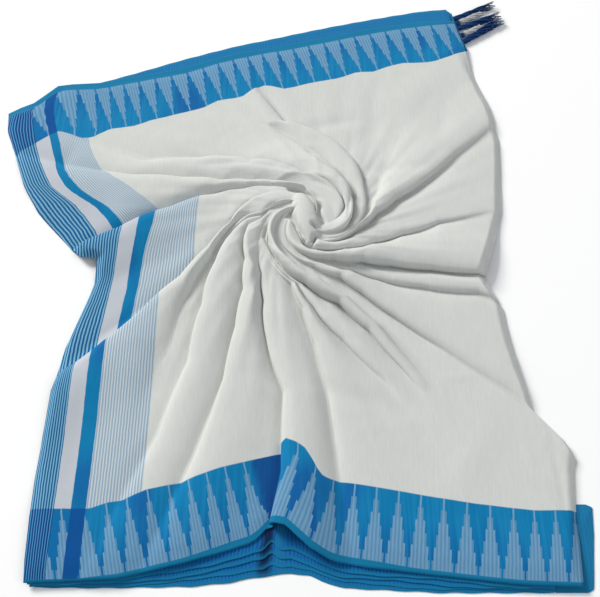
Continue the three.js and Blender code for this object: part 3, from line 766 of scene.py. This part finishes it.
# fine stripes: eighteen blue-grey lines
fine_count = add_node(tree, "Math", {0: count, 1: 1 / 1.97}, operation="MULTIPLY")
fine_wave = add_node(tree, "Math", {0: fine_count, 1: 1.0}, operation="PINGPONG")
fine_line = add_node(tree, "MapRange", {0: fine_wave, 1: 0.25, 2: 0.75})
fine = add_node(tree, "Mix", {0: fine_line, 6: "#C6CDD0", 7: "#8CA7BD"}, **COLOUR)
band_blue = add_node(tree, "Mix", {0: slubs, 6: "#0071A6", 7: "#0480B2"}, **COLOUR)
deeper = add_node(tree, "MapRange", {0: patches, 1: 0.52, 2: 0.64, 3: 0.0, 4: 0.6})
band_blue = add_node(tree, "Mix", {0: deeper, 6: band_blue, 7: "#0B559C"}, **COLOUR)
body = field
for share, tone in ((in_fine, fine), (in_band, band_blue), (in_pale, "#BEC3CC"), (in_dense, dense)):
    body = add_node(tree, "Mix", {0: share, 6: body, 7: tone}, **COLOUR)

# %% [markdown]
# The border's ground is azure, deeper towards the selvedge and in streaks. A temple tooth is drawn by
# counting: the tooth is twelve units wide, the unit nearest to a point gives how many steps it stands
# from the tip, and each step down lowers the top of the rib by 0.16 of the border. The middle unit
# reaches the field, as the thin pale line above each tip does. Light and dark units take turns.

# %% Temple border
near_selvedge = add_node(tree, "MapRange", {0: height, 1: 0.75, 2: 0.15})
azure = add_node(tree, "Mix", {0: near_selvedge, 6: "#0478AE", 7: "#045FA0"}, **COLOUR)
streak_share = add_node(tree, "MapRange", {0: streaks, 1: 0.42, 2: 0.66, 3: 0.0, 4: 0.55})
azure = add_node(tree, "Mix", {0: streak_share, 6: azure, 7: "#1B88BA"}, **COLOUR)
patch_share = add_node(tree, "MapRange", {0: patches, 1: 0.58, 2: 0.70, 3: 0.0, 4: 0.6})
azure = add_node(tree, "Mix", {0: patch_share, 6: azure, 7: "#0B4E9A"}, **COLOUR)
# painted shade in the valley beside the ridge, where the tooth number stays at its last value: the azure
# darkens there
past_last = add_node(tree, "MapRange", {0: straight_tooth, 1: 109.2, 2: 109.5, 3: 0.0, 4: 0.8})
before_right = add_node(tree, "Math", {0: straight_tooth, 1: 109.51}, operation="LESS_THAN")
valley_painted_shade = add_node(tree, "Math", {0: past_last, 1: before_right}, operation="MULTIPLY")
azure = add_node(tree, "Mix", {0: valley_painted_shade, 6: azure, 7: "#0B3F86"}, **COLOUR)
# where the decorated end crosses it: thin light lines on a deeper blue, then the band in royal blue
cross_line = add_node(tree, "MapRange", {0: dense_wave, 1: 0.50, 2: 0.80, 3: 0.0, 4: 0.85})
cross = add_node(tree, "Mix", {0: cross_line, 6: "#063C7C", 7: "#4F9DCA"}, **COLOUR)
for share, tone in ((in_band, "#004F95"), (in_pale, "#046AA6"), (in_dense, cross)):
    azure = add_node(tree, "Mix", {0: share, 6: azure, 7: tone}, **COLOUR)
units = add_node(tree, "Math", {0: tooth, 1: 12.0}, operation="MULTIPLY")
nearest_unit = add_node(tree, "Math", {0: units}, operation="ROUND")
steps = add_node(tree, "Math", {0: nearest_unit, 1: 6.0}, operation="PINGPONG")
rib_top = add_node(tree, "Math", {0: steps, 1: -0.16, 2: 1.0}, operation="MULTIPLY_ADD")
below_top = add_node(tree, "Math", {0: rib_top, 1: height}, operation="SUBTRACT")
in_tooth = add_node(tree, "MapRange", {0: below_top, 1: -0.006, 2: 0.006})
unit_wave = add_node(tree, "Math", {0: units, 1: 1.0}, operation="PINGPONG")
light_rib = add_node(tree, "MapRange", {0: unit_wave, 1: 0.75, 2: 0.25})
rib_colour = add_node(tree, "Mix", {0: light_rib, 6: "#4982AD", 7: "#7DA6C3"}, **COLOUR)
rib_colour = add_node(tree, "Mix", {0: slubs, 6: rib_colour, 7: "#6694B8"}, **COLOUR)
# no teeth where the dense stripes and the band cross
plain = add_node(tree, "Math", {0: in_dense, 1: in_pale}, operation="SUBTRACT")
plain = add_node(tree, "Math", {0: plain, 1: in_band}, operation="ADD")
toothed = add_node(tree, "Math", {0: 1.0, 1: plain}, operation="SUBTRACT")
toothed = add_node(tree, "Math", {0: toothed, 1: in_tooth}, operation="MULTIPLY")
border = add_node(tree, "Mix", {0: toothed, 6: azure, 7: rib_colour}, **COLOUR)
in_selvedge = add_node(tree, "MapRange", {0: height, 1: 0.095, 2: 0.085})
border = add_node(tree, "Mix", {0: in_selvedge, 6: border, 7: "#0C75A0"}, **COLOUR)
in_field = add_node(tree, "MapRange", {0: height, 1: 0.994, 2: 1.006})
colour = add_node(tree, "Mix", {0: in_field, 6: border, 7: body}, **COLOUR)
tree.links.new(colour, shader.inputs["Base Color"])
dress(top_leaf, saree_cotton, "top_leaf")
print("material:", saree_cotton.name, "with", len(tree.nodes), "nodes")

# %% [markdown]
# The hidden leaves are one body under the top leaf. Their edge can be seen from low down, so it is drawn
# as a stack of turned leaves: the side wall swells and draws in again once for each leaf. In and near
# the rosette the body still comes up through the top leaf in four small places, where it stands too high.

# %% Hidden leaves
LEAF_INSET = 52.0


def over_corner(angle):
    """1 over the lowest leaf's corner at the lower right, where the hidden leaves stand back."""
    a = np.mod(angle, 360)
    return smooth((a - 300) / 3) * smooth((320 - a) / 6)


def layered_body(leaves, spokes):
    """Rings of points: the top from the ground formula, then a side of half-circle bulges, one a leaf."""
    angle = np.arange(spokes) * 360 / spokes
    edge = reach(angle)
    smooth_edge = (np.roll(edge, 1) + edge + np.roll(edge, -1)) / 3
    inset = 15 + (LEAF_INSET + 6) * np.maximum(bordered(angle), over_corner(angle))
    out = smooth_edge - inset - 2.5
    rings = []
    for share in (np.arange(1, 31) / 30) ** 0.8:
        r = share * out
        lowest = np.minimum(ground(r, smooth_edge, angle), ground(r + 10, smooth_edge, angle))
        rings.append((r, np.maximum(lowest - 4.4, 1.0)))
    top = rings[-1][1]
    for k in np.arange(1, leaves * 6 + 1) / (leaves * 6):
        bulge = 2.2 * np.sin(math.pi * np.mod(k * leaves, 1)) if k < 1 else 0.0
        rings.append((out + bulge, top * (1 - k)))
    flat = [np.stack([SWIRL[0] + r * np.cos(np.radians(angle)), SWIRL[1] + r * np.sin(np.radians(angle)), z],
                     axis=-1) for r, z in rings]
    return np.array(flat)


body_rings = layered_body(4, 180)
body_rows, body_spokes = body_rings.shape[:2]
body_quads = grid_quads(body_rows, body_spokes)
body_points = np.vstack([body_rings.reshape(-1, 3), [[*SWIRL, FLAT_TOP + SWIRL_RISE - 4.4], [*SWIRL, 0]]])
hub = body_rows * body_spokes
last = (body_rows - 1) * body_spokes
body_caps = fan(hub, 0, body_spokes) + fan(hub + 1, last, body_spokes, turned=True)
hidden_leaves = add_mesh("hidden_leaves_cloth", in_metres(body_points), body_quads.tolist() + body_caps)
plain_cotton, plain_tree, plain_shader, plain_slubs = cotton_material("handloom_cotton_plain", 0.35)
plain_colour = add_node(plain_tree, "Mix", {0: plain_slubs, 6: "#C9CCC8", 7: "#D8DAD6"}, **COLOUR)
plain_tree.links.new(plain_colour, plain_shader.inputs["Base Color"])
dress(hidden_leaves, plain_cotton, "inner_layers")
print("hidden leaves:", len(hidden_leaves.data.polygons), "faces")

# %% [markdown]
# Below the lower border and beyond the upper one the edges of the lower leaves show, blue like their
# borders, each a little further out than the one above. Each is a strip carried along the edge: a thin
# rounded section whose outer side waves a little, so slits open between the leaves. Beside the ridge
# the deep shade of the slit is painted into the edges' colour.

# %% Edges of the lower leaves
TOOTH_PITCH = 29.0                       # mm
BORDER_DEPTH = 105.0                     # mm
LOWER_BORDER = ([-302, -180, -100, -50, 0, 50, 75, 105, 150, 250, 350, 433],
                [-545, -540, -522, -508, -492, -490, -503, -518, -525, -536, -547, -550])
LOWEST_EDGE = ([-302, -200, -80, -30, 0, 50, 75, 90, 120, 250, 395],
               [-549, -550, -548, -543, -537, -531, -534, -541, -550, -556, -556])
UPPER_BORDER = ([-330, -300, -200, -100, 0, 100, 200, 290, 352],
                [333, 335, 359, 392, 420, 447, 474, 491, 498])
UPPERMOST_EDGE = ([-330, -300, -265, -214, -160, -105, -50, 5, 62, 119, 177, 235, 293, 343, 348],
                  [337, 343, 356, 376, 398, 418, 437, 452, 469, 485, 500, 514, 527, 533, 525])


def carry_section(along, inner_y, outer_y, low, high, droop, rounding=7):
    """A strip's rings: over the top from the inner line, round the outer edge in a half circle, back.

    The thickness is high minus low, and droop lowers the strip towards its outer edge.
    """
    turn = np.linspace(math.pi / 2, -math.pi / 2, rounding)
    half = (high - low) / 2
    shares = np.concatenate([np.linspace(0, 1, 9)[:-1], np.ones(rounding), np.linspace(1, 0, 9)[1:]])
    lift = np.concatenate([np.full(8, 1.0), np.sin(turn), np.full(8, -1.0)])
    bulge = np.concatenate([np.zeros(8), np.cos(turn), np.zeros(8)])
    y = inner_y[:, None] + (outer_y - inner_y)[:, None] * shares
    y = y + np.sign(outer_y - inner_y)[:, None] * (half[:, None] * (bulge - 1) * (shares == 1))
    fall = droop[:, None] * smooth((shares - 0.45) / 0.55)
    z = ((low + high) / 2)[:, None] + half[:, None] * lift - fall
    x = np.repeat(along[:, None], len(shares), axis=1)
    return np.stack([x, y, z], axis=-1), shares


def strip_piece(name, points, shares, outward, tooth_side):
    """Closes carried rings into a mesh with end faces, and gives it the border and pallu maps."""
    stations, ring_size = points.shape[:2]
    quads = turned_over(grid_quads(stations, ring_size))
    first_end = list(range(ring_size - 1, -1, -1))
    last_end = list(range((stations - 1) * ring_size, stations * ring_size))
    ends = [first_end, last_end]
    if outward > 0:
        quads = quads[:, ::-1]
        ends = [face[::-1] for face in ends]
    piece = add_mesh(name, in_metres(points.reshape(-1, 3)), quads.tolist() + ends)
    mesh = piece.data
    corner = corner_vertices(mesh)
    flat = points.reshape(-1, 3)
    share = np.tile(shares, stations)
    height = 0.02 + (1 - share) * 0.55
    tooth = flat[:, 0] / TOOTH_PITCH + tooth_side
    add_uv_map(mesh, "pallu", np.full(len(corner), FAR_FROM_END), flat[corner, 1] / 100)
    add_uv_map(mesh, "border", tooth[corner], height[corner])
    return piece


edge_cotton, edge_tree, edge_shader, _ = cotton_material("handloom_cotton_selvedge", 0.4)
edge_tooth = add_node(edge_tree, "SeparateXYZ", {0: add_node(edge_tree, "UVMap", uv_map="border")})
edge_place = add_node(edge_tree, "TexCoord", output="Object")
uneven = add_node(edge_tree, "TexNoise", {"Vector": edge_place, "Scale": 26.0, "Detail": 2.0}, "Fac")
wandering = add_node(edge_tree, "Math", {0: uneven, 1: 0.45, 2: edge_tooth}, operation="MULTIPLY_ADD")
edge_count = add_node(edge_tree, "Math", {0: wandering, 1: 12.0}, operation="MULTIPLY")
edge_wave = add_node(edge_tree, "Math", {0: edge_count, 1: 1.0}, operation="PINGPONG")
edge_rib = add_node(edge_tree, "MapRange", {0: edge_wave, 1: 0.3, 2: 0.7})
ribbed = add_node(edge_tree, "Mix", {0: edge_rib, 6: "#0A579C", 7: "#1170B2"}, **COLOUR)
faded = add_node(edge_tree, "MapRange", {0: uneven, 1: 0.45, 2: 0.7, 3: 0.0, 4: 0.7})
ribbed = add_node(edge_tree, "Mix", {0: faded, 6: ribbed, 7: "#095FA4"}, **COLOUR)
edge_line = add_node(edge_tree, "MapRange", {0: edge_tooth.node.outputs[1], 1: 0.07, 2: 0.03})
edge_colour = add_node(edge_tree, "Mix", {0: edge_line, 6: ribbed, 7: "#1176A4"}, **COLOUR)
# beside the ridge the edges turn in: the deep shade of the slit between them is painted into the
# colour, and right of it painted light makes one edge stand out lighter
across = add_node(edge_tree, "SeparateXYZ", {0: edge_place})
in_front = add_node(edge_tree, "MapRange", {0: across.node.outputs[1], 1: 0.0, 2: -0.1})
wander = add_node(edge_tree, "Math", {0: uneven, 1: 0.016, 2: -0.008}, operation="MULTIPLY_ADD")
across_edge = add_node(edge_tree, "Math", {0: across, 1: wander}, operation="ADD")
behind = add_node(edge_tree, "MapRange", {0: in_front, 3: 0.5, 4: 0.0})
edge_colour = add_node(edge_tree, "Mix", {0: behind, 6: edge_colour, 7: "#177BA6"}, **COLOUR)
not_line = add_node(edge_tree, "MapRange", {0: edge_line, 3: 1.0, 4: 0.35})
in_front = add_node(edge_tree, "Math", {0: in_front, 1: not_line}, operation="MULTIPLY")
# painted light on the edge right of the slit (#1B7CA6), painted shade in the slit (#06183A), and a lighter
# blue patch at the corner leaf (#1F82A6)
for middle, half, share, tone in ((0.032, 0.012, 0.5, "#1B7CA6"), (0.012, 0.013, 0.9, "#06183A"),
                                  (0.43, 0.045, 0.6, "#1F82A6")):
    from_middle = add_node(edge_tree, "Math", {0: across_edge, 1: middle}, operation="SUBTRACT")
    from_middle = add_node(edge_tree, "Math", {0: from_middle}, operation="ABSOLUTE")
    inside_it = add_node(edge_tree, "MapRange", {0: from_middle, 1: half, 2: half - 0.009, 3: 0.0, 4: share})
    inside_it = add_node(edge_tree, "Math", {0: inside_it, 1: in_front}, operation="MULTIPLY")
    edge_colour = add_node(edge_tree, "Mix", {0: inside_it, 6: edge_colour, 7: tone}, **COLOUR)
edge_tree.links.new(edge_colour, edge_shader.inputs["Base Color"])

lower_leaves = []
for order, share in enumerate((0.3, 0.55, 0.78, 1.0)):
    x = np.linspace(-296 + 3 * order, 396.2 - 0.1 * order, 190)
    near = np.interp(x, *LOWER_BORDER)
    far = np.interp(x, *LOWEST_EDGE)
    wave = 1.4 * np.sin(x / 31 + 1.9 * order) * (share < 1) + 0.5 * np.sin(x / 7.3 + order)
    wave = wave + (12 - 3 * order) * np.exp(-(((x - 24) / 8) ** 2)) * (share < 1)
    top = 7.25 - order * 1.85
    high = np.full_like(x, top)
    low = np.full_like(x, max(top - 1.5, 0.0))
    points, shares = carry_section(x, near + LEAF_INSET, near + (far - near) * share + wave, low, high,
                                   np.minimum(np.full_like(x, 0.9), low))
    leaf = strip_piece(f"lower_leaf_cloth_{order + 1}", points, shares, -1, 200 + 7.3 * order)
    dress(leaf, edge_cotton, f"lower_leaf_{order + 1}")
    lower_leaves.append(leaf)

x = np.linspace(-326, 350, 200)
near, far = np.interp(x, *UPPER_BORDER), np.interp(x, *UPPERMOST_EDGE)
points, shares = carry_section(x, near - LEAF_INSET, far + 0.4 * np.sin(x / 6.1), np.full_like(x, 5.7),
                               np.full_like(x, 7.2), np.full_like(x, 5.2))
upper_leaf = strip_piece("upper_leaf_cloth", points, shares, 1, 300.0)
dress(upper_leaf, edge_cotton, "upper_leaf")
print("lower leaves:", [leaf.name for leaf in lower_leaves], "and", upper_leaf.name)

# %% [markdown]
# At the lower right a corner of the lowest leaf sticks out past the turned edge. It is a flat patch
# with rounded edges: an outline drawn in towards its middle in a few rings.

# %% Corner of the lowest leaf
CORNER_LEAF = np.array([[396, -556], [396, -455], [442, -438], [455, -438], [464, -442], [460, -480],
                        [455, -510], [450, -541], [448, -552], [440, -556]], dtype=float)


def rounded_patch(outline, thickness, per_side):
    """A closed patch: its outline resampled, raised in four rings whose inset follows a quarter circle."""
    line = np.vstack([outline, outline[:1]])
    step = np.concatenate([[0], np.cumsum(np.hypot(*np.diff(line, axis=0).T))])
    at = np.linspace(0, step[-1], per_side, endpoint=False)
    ring = np.stack([np.interp(at, step, line[:, 0]), np.interp(at, step, line[:, 1])], axis=-1)
    centre = ring.mean(axis=0)
    rings = []
    for turn in np.linspace(-math.pi / 2, math.pi / 2, 7):
        inset = 0.8 * (1 - math.cos(turn))
        pull = 1 - inset / np.linalg.norm(ring - centre, axis=1)[:, None]
        z = thickness / 2 + thickness / 2 * math.sin(turn)
        rings.append(np.column_stack([centre + (ring - centre) * pull, np.full(len(ring), z)]))
    return np.array(rings), centre


patch_rings, patch_centre = rounded_patch(CORNER_LEAF[::-1], 1.5, 96)
patch_rows, patch_size = patch_rings.shape[:2]
patch_quads = turned_over(grid_quads(patch_rows, patch_size))
top_start = (patch_rows - 1) * patch_size
hub = patch_rows * patch_size
patch_caps = fan(hub, top_start, patch_size) + fan(hub + 1, 0, patch_size, turned=True)
patch_points = np.vstack([patch_rings.reshape(-1, 3), [[*patch_centre, 1.5], [*patch_centre, 0.0]]])
corner_leaf = add_mesh("corner_leaf_cloth", in_metres(patch_points), patch_quads.tolist() + patch_caps)
corner = corner_vertices(corner_leaf.data)
add_uv_map(corner_leaf.data, "border", patch_points[corner, 0] / TOOTH_PITCH,
           (patch_points[corner, 1] + 550) / BORDER_DEPTH)
dress(corner_leaf, edge_cotton, "corner_leaf")
print("corner leaf:", len(corner_leaf.data.polygons), "faces")

# %% [markdown]
# The second leaf's end is knotted into tassels of blue and white yarn. Each strand is a thin tube
# wound round its tassel's line; all of them start in the strip along the cloth's end.

# %% Tassels
# root x, y; tip x, y; strands; 1 for blue yarn and 0 for white (the strip is 2)
TASSELS = [
    (357, 504, 439, 544, 11, 1), (360, 491, 420, 523, 7, 0), (363, 478, 447, 515, 11, 1),
    (367, 460, 414, 486, 7, 0), (370, 443, 450, 504, 13, 1),
]


def strand(root, tip, index, of, loose, thickness=1.7, sides=6, steps=22):
    """A tube on a helix, loose millimetres wide, round a line; it thins and spreads towards the tip."""
    s = np.linspace(0, 1, steps)[:, None]
    start, end = np.array(root, dtype=float), np.array(tip, dtype=float)
    length = np.linalg.norm(end - start)
    ahead = (end - start) / length
    across = np.array([-ahead[1], ahead[0]])
    spare = 0.86 + 0.14 * ((index * 7) % of) / of
    turn = 2 * math.pi * (index / of + 0.9 * s)
    apart = loose * (0.55 + 0.75 * s) * (1 + 0.25 * math.sin(index * 2.3))
    side = apart * np.cos(turn) + 0.8 * np.sin(9 * s + index)
    centre = start + ahead * (length * spare * s - 2) + across * side
    half = thickness * (1 - 0.3 * s)
    z = np.maximum(4.6 + 0.6 * s + 0.75 * apart * np.sin(turn), half + 0.35)
    round_it = np.linspace(0, 2 * math.pi, sides, endpoint=False)[None, :]
    x = centre[:, :1] - across[0] * half * np.cos(round_it)
    y = centre[:, 1:] - across[1] * half * np.cos(round_it)
    return np.stack([x, y, z + half * np.sin(round_it)], axis=-1)


def tube_faces(steps, sides, base, turned=False):
    """Faces of a closed tube of rings: its quads, then its two ends, turned over if asked."""
    quads = grid_quads(steps, sides) + base
    near_end = list(range(base, base + sides))
    far_end = [k + (steps - 1) * sides for k in near_end[::-1]]
    if turned:
        return quads[:, ::-1].tolist() + [near_end[::-1], far_end[::-1]]
    return quads.tolist() + [near_end, far_end]


tassel_points, tassel_faces, yarn = [], [], []
for rx, ry, tx, ty, count_of, blue_yarn in TASSELS:
    for index in range(count_of):
        tube = strand((rx, ry), (tx, ty), index, count_of, 0.42 * count_of if blue_yarn else 4.2)
        base = sum(len(p) for p in tassel_points)
        steps, sides = tube.shape[:2]
        tassel_faces += tube_faces(steps, sides, base)
        tassel_points.append(tube.reshape(-1, 3))
        along = np.repeat(np.linspace(0, 1, steps), sides)
        # blue strands pale towards the tip, and white ones come out of the blue wrapping at the root
        if blue_yarn:
            yarn.append(1 - 0.45 * smooth((along - 0.82) / 0.18))
        else:
            yarn.append(1 - smooth((along - 0.1) / 0.12))
STRIP_STEPS, STRIP_SIDES = 40, 12
strip_ends = np.array([[350.7, 517.0], [371.5, 421.0]])
along_strip = np.linspace(0, 1, STRIP_STEPS)[:, None]
strip_mid = strip_ends[0] + (strip_ends[1] - strip_ends[0]) * along_strip
strip_side = np.array([0.977, 0.212])
round_it = np.linspace(0, 2 * math.pi, STRIP_SIDES, endpoint=False)[None, :]
strip_tube = np.stack([strip_mid[:, :1] + strip_side[0] * 2.3 * np.cos(round_it),
                       strip_mid[:, 1:] + strip_side[1] * 2.3 * np.cos(round_it),
                       3.5 + 3.3 * np.sin(round_it) + 0 * strip_mid[:, :1]], axis=-1)
base = sum(len(p) for p in tassel_points)
tassel_faces += tube_faces(STRIP_STEPS, STRIP_SIDES, base, turned=True)
tassel_points.append(strip_tube.reshape(-1, 3))
yarn.append(np.full(STRIP_STEPS * STRIP_SIDES, 2.0))
tassels = add_mesh("tassel_strands", in_metres(np.vstack(tassel_points)), tassel_faces)
dye = tassels.data.attributes.new("yarn", "FLOAT", "POINT")
dye.data.foreach_set("value", np.concatenate(yarn).astype(np.float32))
yarn_cotton, yarn_tree, yarn_shader, yarn_slubs = cotton_material("twisted_cotton_yarn", 0.5)
dyed = add_node(yarn_tree, "Attribute", output="Fac", attribute_name="yarn")
blue_yarn = add_node(yarn_tree, "Mix", {0: yarn_slubs, 6: "#06204E", 7: "#0C4483"}, **COLOUR)
white_yarn = add_node(yarn_tree, "Mix", {0: yarn_slubs, 6: "#B9BFC4", 7: "#D2D2CE"}, **COLOUR)
yarn_colour = add_node(yarn_tree, "Mix", {0: dyed, 6: white_yarn, 7: blue_yarn}, **COLOUR)
in_strip = add_node(yarn_tree, "MapRange", {0: dyed, 1: 1.4, 2: 1.6})
yarn_colour = add_node(yarn_tree, "Mix", {0: in_strip, 6: yarn_colour, 7: "#0C6A9C"}, **COLOUR)
yarn_tree.links.new(yarn_colour, yarn_shader.inputs["Base Color"])
dress(tassels, yarn_cotton, "tassels")
print("tassels:", sum(row[4] for row in TASSELS), "strands")
